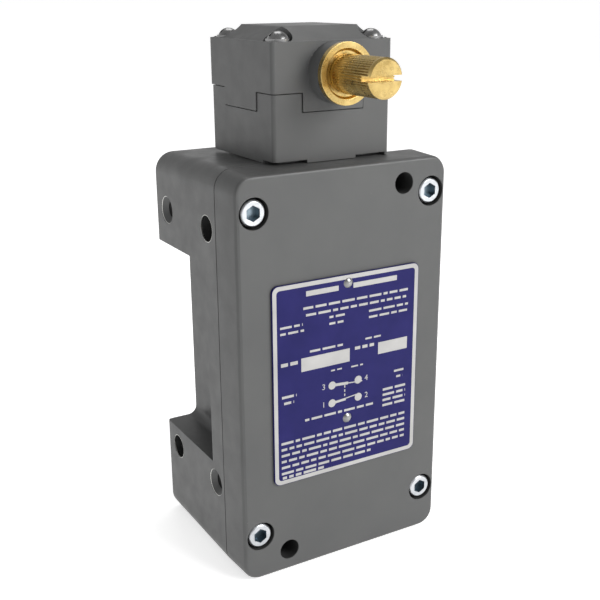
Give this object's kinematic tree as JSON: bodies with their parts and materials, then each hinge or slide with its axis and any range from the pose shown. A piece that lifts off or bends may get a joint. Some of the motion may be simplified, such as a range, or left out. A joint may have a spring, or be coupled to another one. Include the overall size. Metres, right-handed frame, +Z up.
{
  "type": "limit switch",
  "caption": "Rotary-head limit switch: cast box with a screwed front cover, square head, serrated brass shaft with a screwdriver slot, cam, plunger and contact block inside.",
  "frame": {"origin": "centre of the conduit entry on the bottom face", "axes": "+X to the right seen from the front, +Y to the back, +Z up towards the head; the shaft points to -Y"},
  "size_m": [0.0732, 0.0753, 0.1659],
  "materials": {
    "cast": "satin grey paint",
    "zinc": "bright zinc plate",
    "steel": "plain steel",
    "brass": "machined brass",
    "rubber": "matte",
    "label": "printed blue plate",
    "black_plastic": "moulded",
    "cream_plastic": "moulded",
    "silver": "silver-plated copper",
    "green": "green zinc plate"
  },
  "bodies": {
    "enclosure": {"housing": "cast", "cover": "cast", "cover_gasket": "rubber", "cover_screws": "zinc", "nameplate": "label", "nameplate_rivets": "steel", "head_base": "cast", "head_gasket": "rubber", "head_base_screws": "zinc", "head_cap": "cast", "head_cap_screws": "zinc", "shaft_bushing": "brass", "rear_bearing": "brass", "plunger_guide": "brass", "plunger_spring": "steel", "contact_block": "black_plastic", "block_cover": "black_plastic", "block_cover_screws": "zinc", "contact_block_screws": "zinc", "closed_terminals": "brass", "open_terminals": "brass", "terminal_screws": "zinc", "carrier_spring": "steel", "ground_screw": "green"},
    "shaft": {"operating_shaft": "brass", "shaft_seal": "rubber", "retaining_ring": "steel", "cam": "steel", "cam_pin": "steel"},
    "plunger": {"plunger": "steel"},
    "carrier": {"contact_carrier": "cream_plastic", "closed_bridge": "silver", "open_bridge": "silver"}
  },
  "joints": [
    {"name": "shaft_turn", "type": "hinge", "parent": "enclosure", "child": "shaft", "pos_m": [0, -0.0057, 0.1532], "axis": [0, 1, 0], "range_deg": [0, 90], "stiffness_Nm_per_rad": 0.1, "springref_deg": -17.19},
    {"name": "plunger_slide", "type": "slide", "parent": "enclosure", "child": "plunger", "axis": [0, 0, -1], "range_m": [0, 0.0026], "deforming": ["plunger_spring"]},
    {"name": "carrier_slide", "type": "slide", "parent": "enclosure", "child": "carrier", "axis": [0, 0, -1], "range_m": [0, 0.0026], "deforming": ["carrier_spring"]}
  ],
  "couplings": [
    {"joint": "plunger_slide", "follows": "shaft_turn", "m_per_rad": 0.001655},
    {"joint": "carrier_slide", "follows": "shaft_turn", "m_per_rad": 0.001655}
  ]
}
